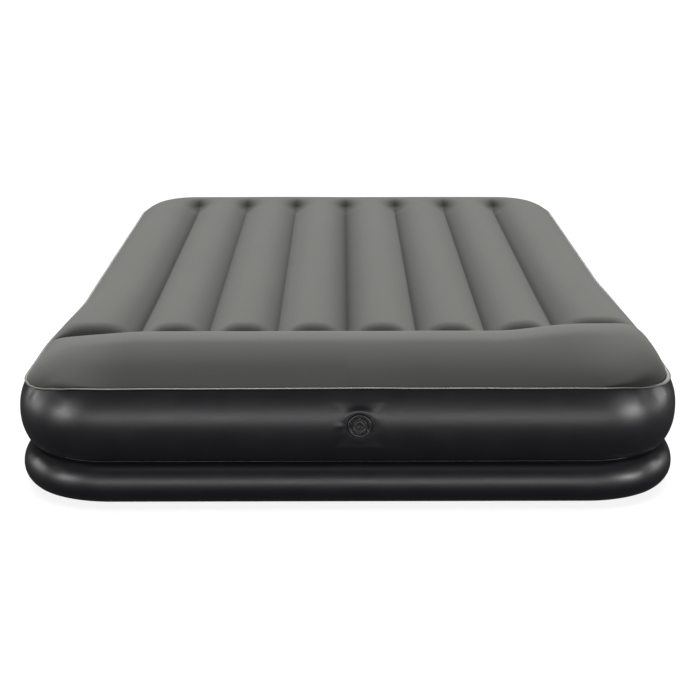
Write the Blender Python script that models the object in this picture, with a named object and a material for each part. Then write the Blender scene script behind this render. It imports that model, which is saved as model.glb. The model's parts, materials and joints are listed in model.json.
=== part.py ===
"""Raised queen-size air bed: flocked top with a built-in pillow, two-deck side wall,
inner beams, and a screw valve with its stopper in the head-end wall.

Metres, +Z up. The origin is on the floor under the middle of the bed. The head end is at -Y.
"""

import math

import bmesh
import bpy

# Driving dimensions
WIDTH = 1.52
LENGTH = 2.03
CORNER_RADIUS = 0.20
FOOT_TAPER = 0.04
SHEET = 0.0012
GAP = 0.0003

WAIST_HEIGHT = 0.105
WAIST_INSET = 0.038
BULGE_HEIGHT = 0.193
SEAM_HEIGHT = 0.280
SEAM_INSET = 0.027
CORNER_DIP = 0.012
LOWER_BULGE_HEIGHT = 0.052
LOWER_BULGE_INSET = 0.001
BOTTOM_INSET = 0.060

PILLOW_HEIGHT = 0.3155
PILLOW_CREST = 0.186
CREASE_PLACE = 0.394
CREASE_RISE = 0.07
CREST_HEIGHT = 0.302
GROOVE_HEIGHT = 0.253
GROOVE_SPACING = 0.181
GROOVES_PER_SIDE = 3
GROOVE_END = 1.918
GROOVE_FADE = 0.035
SHOULDER = 0.075
SHOULDER_POWER = 2.4

SEAM_FIN = 0.004
SEAM_WELD = 0.008
SEAM_THICKNESS = 0.0016
GIRDLE_WIDTH = 0.065
BEAM_CLEARANCE = 0.0025
BEAM_START = 0.430
PILLOW_BEAM_HALF_WIDTH = 0.60

VALVE_X = 0.025
VALVE_HEIGHT = 0.2025
HEAD_PLANE = -LENGTH / 2
WALL_HOLE_RADIUS = 0.0273
PLUG_BORE_RADIUS = 0.0095
CAP_RADIUS = 0.0164
CAP_BACK = 0.0037
STOPPER_PIVOT = (0.0172, 0.0012)
TAB_PLACE = 0.0150
FLAP_RADIUS = 0.0108
FLAP_FRONT = 0.0163
FLAP_THICKNESS = 0.0010

CORNER_STEPS = 7
LONG_SIDE_STEPS = 8
SHORT_SIDE_STEPS = 6
TURN_STEPS = 40
MERGE = 1e-6


# ---------------------------------------------------------------- scene and materials

def clear_scene():
    for thing in list(bpy.data.objects):
        bpy.data.objects.remove(thing, do_unlink=True)


def material(name, colour, roughness, metallic=0.0):
    made = bpy.data.materials.new(name)
    made.use_nodes = True
    shader = made.node_tree.nodes["Principled BSDF"]
    shader.inputs["Base Color"].default_value = (*colour, 1.0)
    shader.inputs["Roughness"].default_value = roughness
    shader.inputs["Metallic"].default_value = metallic
    return made


def add_object(name, mesh, finish, location=(0.0, 0.0, 0.0), smooth=True):
    """Turn a bmesh into the named object."""
    data = bpy.data.meshes.new(name)
    mesh.to_mesh(data)
    mesh.free()
    data.materials.append(finish)
    if smooth:
        data.shade_smooth()
        data.set_sharp_from_angle(angle=math.radians(35))
    made = bpy.data.objects.new(name, data)
    made.location = location
    bpy.context.scene.collection.objects.link(made)
    return made


def thicken(made, thickness, offset):
    """Give an open sheet its wall; offset -1 keeps the outer face where it is."""
    solid = made.modifiers.new("wall", "SOLIDIFY")
    solid.thickness = thickness
    solid.offset = offset
    solid.use_even_offset = False


# ---------------------------------------------------------------- the bed's form

def smoothstep(start, end, value):
    part = min(max((value - start) / (end - start), 0.0), 1.0)
    return part * part * (3.0 - 2.0 * part)


def taper(from_head):
    """The bed is widest across the pillow and slightly narrower from there to the foot."""
    return 1.0 - FOOT_TAPER * smoothstep(0.25, 0.70, from_head)


def cornerness(x, from_head):
    """1 at the bed's corners and 0 along its sides and ends."""
    across = smoothstep(WIDTH / 2 - CORNER_RADIUS, WIDTH / 2, abs(x))
    from_middle = abs(from_head - LENGTH / 2)
    along = smoothstep(LENGTH / 2 - CORNER_RADIUS, LENGTH / 2, from_middle)
    return across * along


def settle(x, from_head, height):
    """A point of the plain rounded block, moved to where the inflated skin lies."""
    dip = CORNER_DIP * cornerness(x, from_head) * smoothstep(WAIST_HEIGHT, SEAM_HEIGHT, height)
    return (x * taper(from_head), from_head - LENGTH / 2, height - dip)


def outline(inset):
    """The bed's rounded rectangle in plan, as (x, distance from the head plane)."""
    radius = CORNER_RADIUS - inset
    centres = (
        (1, 1, -90, LONG_SIDE_STEPS),
        (1, -1, 0, SHORT_SIDE_STEPS),
        (-1, -1, 90, LONG_SIDE_STEPS),
        (-1, 1, 180, SHORT_SIDE_STEPS),
    )
    arcs = []
    for side, end, start, straight_steps in centres:
        centre_x = side * (WIDTH / 2 - CORNER_RADIUS)
        centre_y = LENGTH / 2 - end * (LENGTH / 2 - CORNER_RADIUS)
        arc = []
        for step in range(CORNER_STEPS + 1):
            angle = math.radians(start + 90.0 * step / CORNER_STEPS)
            arc.append((centre_x + radius * math.cos(angle), centre_y + radius * math.sin(angle)))
        arcs.append((arc, straight_steps))
    points = []
    for index, (arc, straight_steps) in enumerate(arcs):
        points.extend(arc)
        following = arcs[(index + 1) % len(arcs)][0][0]
        last = arc[-1]
        for step in range(1, straight_steps):
            share = step / straight_steps
            points.append((
                last[0] + share * (following[0] - last[0]),
                last[1] + share * (following[1] - last[1]),
            ))
    return points


def perimeter_skin(profile, closed):
    """Sweep a profile of (inset, height) points round the bed."""
    rings = [[settle(x, from_head, height) for x, from_head in outline(inset)]
             for inset, height in profile]
    if closed:
        rings.append(rings[0])
    around = len(rings[0])
    mesh = bmesh.new()
    bmesh.ops.create_grid(mesh, x_segments=around, y_segments=len(rings) - 1, size=1)
    for vertex in mesh.verts:
        station = round((vertex.co.x + 1) / 2 * around) % around
        ring = rings[round((vertex.co.y + 1) / 2 * (len(rings) - 1))]
        vertex.co = ring[station]
    bmesh.ops.remove_doubles(mesh, verts=mesh.verts, dist=MERGE)
    bmesh.ops.recalc_face_normals(mesh, faces=mesh.faces)
    return mesh


def face_outwards(mesh):
    """An open wall's faces point away from the middle of the bed."""
    face = max(mesh.faces, key=lambda candidate: abs(candidate.normal.y))
    if face.normal.y * face.calc_center_median().y < 0:
        bmesh.ops.reverse_faces(mesh, faces=mesh.faces)


def quarter_ellipse(start, end, steps, upright_at_start):
    """Points from start to end along a quarter of an ellipse, in (inset, height)."""
    points = []
    for step in range(steps + 1):
        angle = math.radians(90.0 * step / steps)
        slow, fast = 1.0 - math.cos(angle), math.sin(angle)
        if not upright_at_start:
            slow, fast = fast, slow
        points.append((
            start[0] + (end[0] - start[0]) * slow,
            start[1] + (end[1] - start[1]) * fast,
        ))
    return points


def crown(x, from_head):
    """Height of the top sheet away from its edge: pillow, crease, channels, foot border."""
    if from_head < PILLOW_CREST:
        return PILLOW_HEIGHT
    crease = GROOVE_HEIGHT + 0.004
    if from_head < CREASE_PLACE:
        part = (from_head - PILLOW_CREST) / (CREASE_PLACE - PILLOW_CREST)
        return crease + (PILLOW_HEIGHT - crease) * math.sqrt(1.0 - part * part)
    half = GROOVE_SPACING / 2
    past_last = abs(x) - GROOVES_PER_SIDE * GROOVE_SPACING
    if past_last > 0:
        from_crest = max(half - past_last, 0.0)
    else:
        from_crest = abs(abs(x) % GROOVE_SPACING - half)
    depth = CREST_HEIGHT - GROOVE_HEIGHT
    arc_radius = (half * half + depth * depth) / (2.0 * depth)
    drop = arc_radius - math.sqrt(arc_radius * arc_radius - from_crest * from_crest)
    drop *= 1.0 - smoothstep(GROOVE_END - GROOVE_FADE / 2, GROOVE_END + GROOVE_FADE / 2, from_head)
    channel = CREST_HEIGHT - drop
    part = min((from_head - CREASE_PLACE) / CREASE_RISE, 1.0)
    rise = math.sqrt(1.0 - (1.0 - part) ** 2)
    return min(crease, channel) + (channel - min(crease, channel)) * rise


def half_width(from_head, inset):
    """Half the plan's width at a distance from the head plane."""
    radius = CORNER_RADIUS - inset
    into_corner = abs(from_head - LENGTH / 2) - (LENGTH / 2 - CORNER_RADIUS)
    flat = WIDTH / 2 - CORNER_RADIUS
    if into_corner <= 0:
        return flat + radius
    return flat + math.sqrt(max(radius * radius - into_corner * into_corner, 0.0))


def edge_distance(x, from_head, inset):
    """Distance inwards from the rounded outline at this inset."""
    across = abs(x) - (WIDTH / 2 - CORNER_RADIUS)
    along = abs(from_head - LENGTH / 2) - (LENGTH / 2 - CORNER_RADIUS)
    outside = math.hypot(max(across, 0.0), max(along, 0.0)) + min(max(across, along), 0.0)
    return max(CORNER_RADIUS - inset - outside, 0.0)


def top_height(x, from_head):
    """Height of the top sheet, with its shoulder falling to the seam."""
    edge = SEAM_HEIGHT + SEAM_THICKNESS / 2 + GAP + 2 * SHEET
    part = min(edge_distance(x, from_head, SEAM_INSET) / SHOULDER, 1.0)
    share = 1.0 - (1.0 - part) ** SHOULDER_POWER
    if from_head < PILLOW_CREST:
        along = (from_head - SEAM_INSET) / (PILLOW_CREST - SEAM_INSET)
        share = min(share, 1.0 - (1.0 - along) ** SHOULDER_POWER)
    height = crown(x, from_head)
    if height < edge:
        share = smoothstep(SEAM_WELD + SHEET, 2 * SHOULDER, part * SHOULDER)
    return edge + (height - edge) * share


# ---------------------------------------------------------------- the skin

def spread(start, end, steps, first=True):
    """Even places from start to end; without the first one where another stretch ends there."""
    places = [start + (end - start) * step / steps for step in range(steps + 1)]
    return places if first else places[1:]


def top_rows():
    """Distances from the head plane of the top sheet's rows of points."""
    reach = CORNER_RADIUS - SEAM_INSET
    rounding = [1.0 - math.cos(math.radians(angle)) for angle in spread(0, 90, 7)]
    rows = [SEAM_INSET + reach * part for part in rounding]
    rows += spread(CORNER_RADIUS, CREASE_PLACE - 0.02, 4, first=False)
    rows += spread(CREASE_PLACE - 0.008, CREASE_PLACE, 1)
    rows += [CREASE_PLACE + CREASE_RISE * part for part in (0.08, 0.3, 0.62, 1.0)]
    rows += spread(CREASE_PLACE + CREASE_RISE, LENGTH - CORNER_RADIUS, 5, first=False)
    foot = [LENGTH - row for row in reversed(rows[: len(rounding) - 1])]
    rows += [row for row in foot if row < GROOVE_END - GROOVE_FADE]
    rows += spread(GROOVE_END - GROOVE_FADE / 2, GROOVE_END + GROOVE_FADE / 2, 2)
    rows += [row for row in foot if row > GROOVE_END + GROOVE_FADE]
    return rows


def top_columns(from_head):
    """x of each column: fixed between the outer grooves, then squeezed into the corners."""
    reach = 4 * GROOVES_PER_SIDE
    inner = [GROOVE_SPACING * step / 4 for step in range(-reach, reach + 1)]
    last = inner[-1]
    edge = half_width(from_head, SEAM_INSET)
    outer = [last + (edge - last) * part for part in (0.24, 0.46, 0.68, 0.86, 1.0)]
    return [-x for x in reversed(outer)] + inner + outer


def make_top_sheet(finish):
    rows = top_rows()
    columns = len(top_columns(rows[0]))
    mesh = bmesh.new()
    bmesh.ops.create_grid(mesh, x_segments=columns - 1, y_segments=len(rows) - 1, size=1)
    for vertex in mesh.verts:
        row = rows[round((vertex.co.y + 1) / 2 * (len(rows) - 1))]
        x = top_columns(row)[round((vertex.co.x + 1) / 2 * (columns - 1))]
        vertex.co = settle(x, row, top_height(x, row))
    mesh.normal_update()
    thicken(add_object("top_sheet", mesh, finish), SHEET, -1.0)


def make_upper_wall(finish):
    clear = SEAM_THICKNESS / 2 + GAP
    lower = quarter_ellipse((WAIST_INSET, WAIST_HEIGHT + clear), (0.0, BULGE_HEIGHT), 7, False)
    upper = [
        (SEAM_INSET * part * part, BULGE_HEIGHT + part * (SEAM_HEIGHT - clear - BULGE_HEIGHT))
        for part in spread(0, 1, 5, first=False)
    ]
    mesh = perimeter_skin(lower + upper, closed=False)
    face_outwards(mesh)
    wall = add_object("upper_side_wall", mesh, finish)
    thicken(wall, SHEET, -1.0)
    cutter_mesh = bmesh.new()
    bmesh.ops.create_cone(
        cutter_mesh, cap_ends=True, segments=TURN_STEPS,
        radius1=WALL_HOLE_RADIUS, radius2=WALL_HOLE_RADIUS, depth=0.06,
    )
    cutter = add_object("valve_hole_cutter", cutter_mesh, finish, (VALVE_X, HEAD_PLANE, VALVE_HEIGHT))
    cutter.rotation_euler = (math.radians(90), 0.0, 0.0)
    cutter.hide_render = True
    cutter.display_type = "WIRE"
    cut = wall.modifiers.new("valve_hole", "BOOLEAN")
    cut.operation = "DIFFERENCE"
    cut.object = cutter


def make_lower_wall(finish):
    clear = SEAM_THICKNESS / 2 + GAP
    bulge = (LOWER_BULGE_INSET, LOWER_BULGE_HEIGHT)
    under = quarter_ellipse((BOTTOM_INSET, 2 * GAP + SEAM_THICKNESS), bulge, 6, False)
    over = quarter_ellipse(bulge, (WAIST_INSET, WAIST_HEIGHT - clear), 6, True)
    mesh = perimeter_skin(under + over[1:], closed=False)
    face_outwards(mesh)
    thicken(add_object("lower_side_wall", mesh, finish), SHEET, -1.0)


def make_bottom_sheet(finish):
    """A flat sheet on the floor, inside the bottom seam."""
    mesh = bmesh.new()
    points = outline(BOTTOM_INSET + SEAM_WELD + 2 * GAP)
    verts = bmesh.ops.create_circle(mesh, cap_ends=True, segments=len(points), radius=1.0)["verts"]
    for vertex, (x, from_head) in zip(verts, points):
        vertex.co = settle(x, from_head, 0.0)
    base = mesh.faces[:]
    raised = bmesh.ops.extrude_face_region(mesh, geom=base)["geom"]
    top = [item for item in raised if isinstance(item, bmesh.types.BMVert)]
    bmesh.ops.translate(mesh, verts=top, vec=(0.0, 0.0, SHEET))
    bmesh.ops.recalc_face_normals(mesh, faces=mesh.faces)
    add_object("bottom_sheet", mesh, finish)


def make_band(name, finish, inset_from, inset_to, low, high):
    """A flat band of sheet or weld that runs all round the bed."""
    profile = [(inset_from, low), (inset_to, low), (inset_to, high), (inset_from, high)]
    add_object(name, perimeter_skin(profile, closed=True), finish)


def make_seams(finish):
    half = SEAM_THICKNESS / 2
    make_band(
        "top_seam", finish, SEAM_INSET - SEAM_FIN, SEAM_INSET + SEAM_WELD,
        SEAM_HEIGHT - half, SEAM_HEIGHT + half,
    )
    make_band(
        "waist_seam", finish, WAIST_INSET - SEAM_FIN, WAIST_INSET + SEAM_WELD,
        WAIST_HEIGHT - half, WAIST_HEIGHT + half,
    )
    make_band(
        "bottom_seam", finish, BOTTOM_INSET - SEAM_FIN, BOTTOM_INSET + SEAM_WELD,
        GAP, GAP + SEAM_THICKNESS,
    )


# ---------------------------------------------------------------- inside the bed

def make_girdle_band(finish):
    """The ring of sheet that holds the waist in, welded inside the waist seam."""
    start = WAIST_INSET + SEAM_WELD + GAP
    make_band(
        "girdle_band", finish, start, start + GIRDLE_WIDTH,
        WAIST_HEIGHT - SHEET / 2, WAIST_HEIGHT + SHEET / 2,
    )


def upright_strip(name, finish, place, steps):
    """A vertical strip from the bottom sheet to the underside of a groove."""
    mesh = bmesh.new()
    bmesh.ops.create_grid(mesh, x_segments=steps, y_segments=1, size=1)
    low = SHEET + GAP
    high = GROOVE_HEIGHT - SHEET - BEAM_CLEARANCE
    for vertex in mesh.verts:
        x, from_head = place((vertex.co.x + 1) / 2)
        height = high if vertex.co.y > 0 else low
        vertex.co = (x, from_head - LENGTH / 2, height)
    mesh.normal_update()
    thicken(add_object(name, mesh, finish), SHEET, 0.0)


def make_beams(finish):
    """Seven beams run the bed's length, one under each groove; one crosses it under the crease."""
    end = GROOVE_END - GROOVE_FADE

    def along_groove(number):
        def place(part):
            from_head = BEAM_START + (end - BEAM_START) * part
            return number * GROOVE_SPACING * taper(from_head), from_head
        return place

    for number in range(-GROOVES_PER_SIDE, GROOVES_PER_SIDE + 1):
        name = f"beam_{number + GROOVES_PER_SIDE + 1}"
        upright_strip(name, finish, along_groove(number), 10)

    def along_crease(part):
        return PILLOW_BEAM_HALF_WIDTH * (2.0 * part - 1.0), CREASE_PLACE

    upright_strip("pillow_beam", finish, along_crease, 1)


# ---------------------------------------------------------------- the valve

def turned(profile):
    """A solid of revolution about the valve's axis from (radius, depth behind the head plane)."""
    mesh = bmesh.new()
    verts = [mesh.verts.new((radius, depth, 0.0)) for radius, depth in profile]
    edges = [mesh.edges.new(pair) for pair in zip(verts, verts[1:] + verts[:1])
             if pair[0].co.x > 0 or pair[1].co.x > 0]
    bmesh.ops.spin(
        mesh, geom=verts + edges, cent=(0, 0, 0), axis=(0, 1, 0),
        angle=2 * math.pi, steps=TURN_STEPS, use_merge=True,
    )
    bmesh.ops.remove_doubles(mesh, verts=mesh.verts, dist=MERGE)
    bmesh.ops.recalc_face_normals(mesh, faces=mesh.faces)
    return mesh


def millimetres(*points):
    return [(radius / 1000, depth / 1000) for radius, depth in points]


def make_valve(finish, soft_finish):
    centre = (VALVE_X, HEAD_PLANE, VALVE_HEIGHT)
    seat = millimetres(
        (22.0, 0.6), (22.6, 0.0), (25.9, 0.0), (26.5, 0.6), (26.5, 11.0), (37.0, 11.0), (37.0, 12.5),
        (24.4, 12.5), (24.4, 24.0), (17.6, 24.0), (17.6, 21.8), (22.0, 21.8),
    )
    add_object("valve_seat", turned(seat), finish, centre)
    gasket = millimetres((17.9, 20.2), (21.6, 20.2), (21.6, 21.5), (17.9, 21.5))
    add_object("valve_gasket", turned(gasket), soft_finish, centre)
    plug = millimetres(
        (20.0, 1.4), (20.6, 0.8), (21.0, 0.8), (21.6, 1.4), (21.6, 19.9), (19.6, 19.9), (19.6, 8.8),
        (12.0, 8.8), (12.0, 16.0), (9.5, 16.0), (9.5, 4.0), (11.4, 4.0), (12.0, 4.6), (12.0, 7.0),
        (20.0, 7.0),
    )
    add_object("valve_plug", turned(plug), finish, centre)


def make_stopper(finish):
    """The cap that closes the plug's port, with its pull ring; it swings on its strap."""
    pivot_up, pivot_depth = STOPPER_PIVOT
    pivot = (VALVE_X, HEAD_PLANE + pivot_depth, VALVE_HEIGHT + pivot_up)
    cap = millimetres(
        (0.0, 5.8), (6.2, 5.8), (6.2, 2.0), (6.8, 1.2), (9.6, 1.2), (10.2, 1.9), (12.6, 1.9),
        (13.2, 1.2), (15.8, 1.2), (16.4, 1.8), (16.4, 3.7), (8.4, 3.7), (8.4, 7.2), (0.0, 7.2),
    )
    mesh = turned(cap)
    bmesh.ops.translate(mesh, verts=mesh.verts, vec=(0.0, -pivot_depth, -pivot_up))
    stopper = add_object("stopper", mesh, finish, pivot)
    ring = millimetres((2.4, 0.5), (4.6, 0.5), (4.6, 2.3), (2.4, 2.3))
    ring_mesh = turned(ring)
    drop = -pivot_up - TAB_PLACE
    bmesh.ops.translate(ring_mesh, verts=ring_mesh.verts, vec=(0.0, -pivot_depth, drop))
    pull_ring = add_object("pull_ring_guide", ring_mesh, finish, pivot)
    pull_ring.hide_render = True
    pull_ring.display_type = "WIRE"
    join = stopper.modifiers.new("pull_ring", "BOOLEAN")
    join.operation = "UNION"
    join.object = pull_ring


def make_strap(finish):
    """The strap's root, held in the plug just above the stopper."""
    mesh = bmesh.new()
    bmesh.ops.create_cube(mesh, size=1.0)
    bmesh.ops.scale(mesh, verts=mesh.verts, vec=(0.0060, 0.0016, 0.0018))
    bmesh.ops.bevel(
        mesh, geom=mesh.edges[:], offset=0.0003, offset_type="OFFSET", affect="EDGES",
        segments=1, profile=0.5, material=-1,
    )
    place = (VALVE_X, HEAD_PLANE + 0.0029, VALVE_HEIGHT + 0.0185)
    add_object("stopper_strap", mesh, finish, place)


def make_check_flap(finish):
    """The one-way flap behind the port, hinged at its top edge."""
    profile = [(0.0, 0.0), (FLAP_RADIUS, 0.0), (FLAP_RADIUS, FLAP_THICKNESS), (0.0, FLAP_THICKNESS)]
    mesh = turned(profile)
    hang = FLAP_RADIUS - 0.0002
    bmesh.ops.translate(mesh, verts=mesh.verts, vec=(0.0, 0.0, -hang))
    place = (VALVE_X, HEAD_PLANE + FLAP_FRONT, VALVE_HEIGHT + hang)
    add_object("check_flap", mesh, finish, place)


clear_scene()
flocked = material("flocked_top", (0.105, 0.107, 0.096), 0.95)
vinyl = material("charcoal_vinyl", (0.016, 0.016, 0.018), 0.42)
weld = material("weld_vinyl", (0.03, 0.03, 0.032), 0.38)
inner = material("inner_vinyl", (0.10, 0.10, 0.105), 0.55)
plastic = material("valve_plastic", (0.018, 0.018, 0.019), 0.35)
soft = material("valve_rubber", (0.02, 0.02, 0.02), 0.65)

make_top_sheet(flocked)
make_upper_wall(vinyl)
make_lower_wall(vinyl)
make_bottom_sheet(vinyl)
make_seams(weld)
make_girdle_band(inner)
make_beams(inner)
make_valve(plastic, soft)
make_stopper(plastic)
make_strap(soft)
make_check_flap(soft)
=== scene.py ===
"""Raised queen-size air bed: flocked channelled top with a built-in pillow, two-deck
charcoal side wall, welded seams, inner beams and a screw valve at the head end."""
import json
import math

import bmesh
import bpy
import numpy as np
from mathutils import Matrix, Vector, noise


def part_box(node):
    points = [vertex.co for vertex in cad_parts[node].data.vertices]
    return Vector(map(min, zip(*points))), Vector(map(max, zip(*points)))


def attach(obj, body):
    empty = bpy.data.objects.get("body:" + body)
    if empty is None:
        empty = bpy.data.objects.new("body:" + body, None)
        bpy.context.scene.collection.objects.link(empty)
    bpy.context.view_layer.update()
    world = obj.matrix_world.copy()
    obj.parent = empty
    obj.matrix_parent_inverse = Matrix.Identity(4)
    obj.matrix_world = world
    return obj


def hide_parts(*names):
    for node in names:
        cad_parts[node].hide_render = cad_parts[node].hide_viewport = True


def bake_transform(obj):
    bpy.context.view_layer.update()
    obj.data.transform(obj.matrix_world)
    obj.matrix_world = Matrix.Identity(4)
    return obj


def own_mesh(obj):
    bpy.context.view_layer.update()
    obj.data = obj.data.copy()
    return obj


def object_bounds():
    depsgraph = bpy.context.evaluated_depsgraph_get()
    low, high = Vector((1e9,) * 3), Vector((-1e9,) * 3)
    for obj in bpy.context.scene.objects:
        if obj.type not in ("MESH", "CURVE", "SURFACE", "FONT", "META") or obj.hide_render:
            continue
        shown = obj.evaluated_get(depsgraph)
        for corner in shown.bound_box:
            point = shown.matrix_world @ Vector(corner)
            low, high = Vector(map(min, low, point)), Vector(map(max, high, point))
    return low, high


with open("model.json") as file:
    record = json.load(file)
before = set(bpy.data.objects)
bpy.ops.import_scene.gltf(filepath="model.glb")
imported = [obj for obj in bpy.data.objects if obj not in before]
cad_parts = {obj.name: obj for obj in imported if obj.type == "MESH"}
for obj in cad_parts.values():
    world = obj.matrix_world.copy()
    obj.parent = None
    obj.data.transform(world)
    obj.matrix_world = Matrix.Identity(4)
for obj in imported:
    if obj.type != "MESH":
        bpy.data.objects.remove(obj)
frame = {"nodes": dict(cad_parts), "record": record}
cad_low, cad_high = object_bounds()


# ---------------------------------------------------------------- studio
# A pale floor, a soft light from beyond the foot, and low front panels that draw the
# sheen along the side wall. The camera looks at the head end from above. Each distant
# light is given as strength, spread and elevation in degrees.
WIDTH = cad_high.x - cad_low.x
LENGTH = cad_high.y - cad_low.y
HEAD = cad_low.y
CAMERA_DISTANCE = 2.698
CAMERA_HEIGHT = 1.278
CAMERA_SIDE = -0.014
CAMERA_PITCH = 18.34
CAMERA_YAW = -0.28
LENS = 68.5
FLOOR_COLOUR = (0.93, 0.93, 0.93)
FLOOR_HALF = 60.0
SKY_STRENGTH = 0.07
BACK_LIGHT = (4.5, 28.0, 34.0)
FLOOR_LIGHT = (2.9, 10.0, 88.0)
FLOOR_SHADE_LIGHT = (0.8, 60.0, 80.0)

scene = bpy.context.scene
scene.view_settings.view_transform = "Standard"

camera_data = bpy.data.cameras.new("camera")
camera_data.lens = LENS
camera_data.sensor_width = 36.0
camera = bpy.data.objects.new("camera", camera_data)
camera.location = (CAMERA_SIDE, HEAD - CAMERA_DISTANCE, CAMERA_HEIGHT)
camera.rotation_euler = (math.radians(90.0 - CAMERA_PITCH), 0.0, math.radians(CAMERA_YAW))
scene.collection.objects.link(camera)
scene.camera = camera

world = bpy.data.worlds.new("studio")
world.use_nodes = True
background = world.node_tree.nodes["Background"]
background.inputs["Color"].default_value = (1.0, 1.0, 1.0, 1.0)
background.inputs["Strength"].default_value = SKY_STRENGTH
scene.world = world


def add_panel(name, centre, target, width, height, power):
    """A soft rectangular light that faces a target."""
    data = bpy.data.lights.new(name, "AREA")
    data.shape = "RECTANGLE"
    data.size = width
    data.size_y = height
    data.energy = power
    panel = bpy.data.objects.new(name, data)
    panel.location = centre
    aim = Vector(target) - Vector(centre)
    panel.rotation_euler = aim.to_track_quat("-Z", "Y").to_euler()
    scene.collection.objects.link(panel)
    return panel


def add_sun(name, strength, angle, elevation):
    """A soft distant light from beyond the foot, at an elevation."""
    data = bpy.data.lights.new(name, "SUN")
    data.energy = strength
    data.angle = math.radians(angle)
    sun = bpy.data.objects.new(name, data)
    up = math.radians(elevation)
    towards = Vector((0.0, -math.cos(up), -math.sin(up)))
    sun.rotation_euler = towards.to_track_quat("-Z", "Y").to_euler()
    scene.collection.objects.link(sun)
    return sun


back_light = add_sun("back_light", *BACK_LIGHT)
floor_light = add_sun("floor_light", *FLOOR_LIGHT)
floor_light.data.use_shadow = False
floor_shade_light = add_sun("floor_shade_light", *FLOOR_SHADE_LIGHT)

wall_aim = (0.0, HEAD, 0.2)
front_panels = [
    add_panel("front_strip", (0.0, HEAD - 3.4, 0.40), wall_aim, 4.6, 0.26, 90.0),
    add_panel("left_panel", (-2.9, HEAD - 1.9, 0.55), (-0.6, HEAD, 0.2), 0.8, 0.45, 55.0),
    add_panel("right_panel", (2.9, HEAD - 1.9, 0.60), (0.6, HEAD, 0.2), 0.8, 0.45, 75.0),
    add_panel("top_panel", (0.0, HEAD - 0.8, 2.4), (0.0, HEAD, 0.1), 3.2, 0.7, 8.0),
]
side_panels = []
for side in (-1, 1):
    rim_place, rim_aim = (side * 3.0, HEAD + 0.4, 0.5), (side * 0.7, HEAD + 0.1, 0.2)
    front_panels.append(add_panel(f"rim_panel_{side}", rim_place, rim_aim, 1.4, 0.9, 26.0))
for side in (-1, 1):
    side_place, side_aim = (side * 2.4, -0.5, 1.2), (side * 0.4, -0.3, 0.3)
    side_panels.append(add_panel(f"side_panel_{side}", side_place, side_aim, 2.6, 1.4, 14.0))

floor_mesh = bmesh.new()
bmesh.ops.create_grid(floor_mesh, x_segments=1, y_segments=1, size=FLOOR_HALF)
floor_data = bpy.data.meshes.new("floor")
floor_mesh.to_mesh(floor_data)
floor_mesh.free()
floor = bpy.data.objects.new("floor", floor_data)
scene.collection.objects.link(floor)
floor_paint = bpy.data.materials.new("floor_paint")
floor_paint.use_nodes = True
floor_shader = floor_paint.node_tree.nodes["Principled BSDF"]
floor_shader.inputs["Base Color"].default_value = (*FLOOR_COLOUR, 1.0)
floor_shader.inputs["Roughness"].default_value = 0.9
floor_shader.inputs["Specular IOR Level"].default_value = 0.0
floor_data.materials.append(floor_paint)
floor.visible_glossy = False
floor.visible_diffuse = False


# ---------------------------------------------------------------- flocked top sheet
# One sheet of PVC with a grey flocked face, which also makes the pillow. It is welded
# to a beam along each groove and behind the pillow, and to the side wall at its edge.
# Air pressure rounds it into channels between the welds.
CORNER_RADIUS = 0.20
LEFT_TAPER = (0.052, 0.37, 0.80)
RIGHT_TAPER = (0.045, 0.35, 1.00)
STRAIGHT_HALF = 0.50
TAPERED_HALF = 0.70
LEFT_DIP = 0.026
RIGHT_DIP = 0.021
DIP_POWER = 1.5
DIP_LOST = 0.65
DIP_RUN = (0.35, 0.90)
SEAM_FIN = 0.004
top_seam_low, top_seam_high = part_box("top_seam")
waist_low, waist_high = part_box("waist_seam")
SEAM_HEIGHT = top_seam_high.z - (waist_high.z - waist_low.z) / 2
SEAM_INSET = top_seam_low.y - HEAD + SEAM_FIN
WAIST_HEIGHT = (waist_low.z + waist_high.z) / 2
WAIST_INSET = 0.038
BULGE_HEIGHT = 0.193
CREASE_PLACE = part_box("pillow_beam")[0].y + 0.0006 - HEAD
PILLOW_HEIGHT = 0.3288
PILLOW_CREST = 0.240
PILLOW_BACK_POWER = 2.2
PILLOW_FACE_POWER = 2.1
PILLOW_HALF = (0.64, 0.75)
PILLOW_RIPPLE = 0.0012
LEFT_PILLOW_DROP = 0.018
LEFT_DROP_RUN = (0.50, 0.72)
RIGHT_PILLOW_LIFT = 0.0055
RIGHT_END_RUN = (0.36, 0.60)
RIGHT_PILLOW_SHIFT = 0.045
SHIFT_START = 0.05
SHIFT_FADE = (0.40, 0.90)
SIDE_FULLNESS = 0.008
CREASE_RISE = 0.060
CREASE_HEIGHT = 0.255
CREST_HEIGHT = 0.303
GROOVE_HEIGHT = 0.252
GROOVE_SPACING = 0.181
GROOVES_PER_SIDE = 3
GROOVES = range(-GROOVES_PER_SIDE, GROOVES_PER_SIDE + 1)
GROOVE_END = 1.885
GROOVE_FADE = 0.100
CHANNEL_POWER = 2.8
CHANNEL_RIPPLE = 0.0015
SHOULDER = 0.072
PILLOW_SHOULDERS = (0.108, 0.068)
PILLOW_SHOULDER_FADE = (0.28, 0.50)
FOOT_SHOULDER = 0.055
SHOULDER_POWER = 2.5
GROOVE_SHOULDER_START = 0.008
SEAM_BOW = 0.0025
SEAM_BOW_DEPTH = 0.10
SEAM_WANDER = 0.0012
SEAM_GATHER = 0.006
SEAM_REACH = 0.05
# Painted shade beside the welds and on the pillow's face: strength and reach of the darkening.
INWARD_SHADE, INWARD_SHADE_REACH = 0.92, 0.023
OUTWARD_SHADE, OUTWARD_SHADE_REACH = 0.30, 0.012
FACE_SHADE = 0.36
FACE_SHADE_FADE = (0.040, 0.010)
FACE_END_LOSS = 0.8
FACE_END_RUN = (0.52, 0.70)
ROW_SPACING = 0.0165
SHEET = 0.0009
SEAM_HALF = 0.0008
CELL = 0.0125
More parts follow.
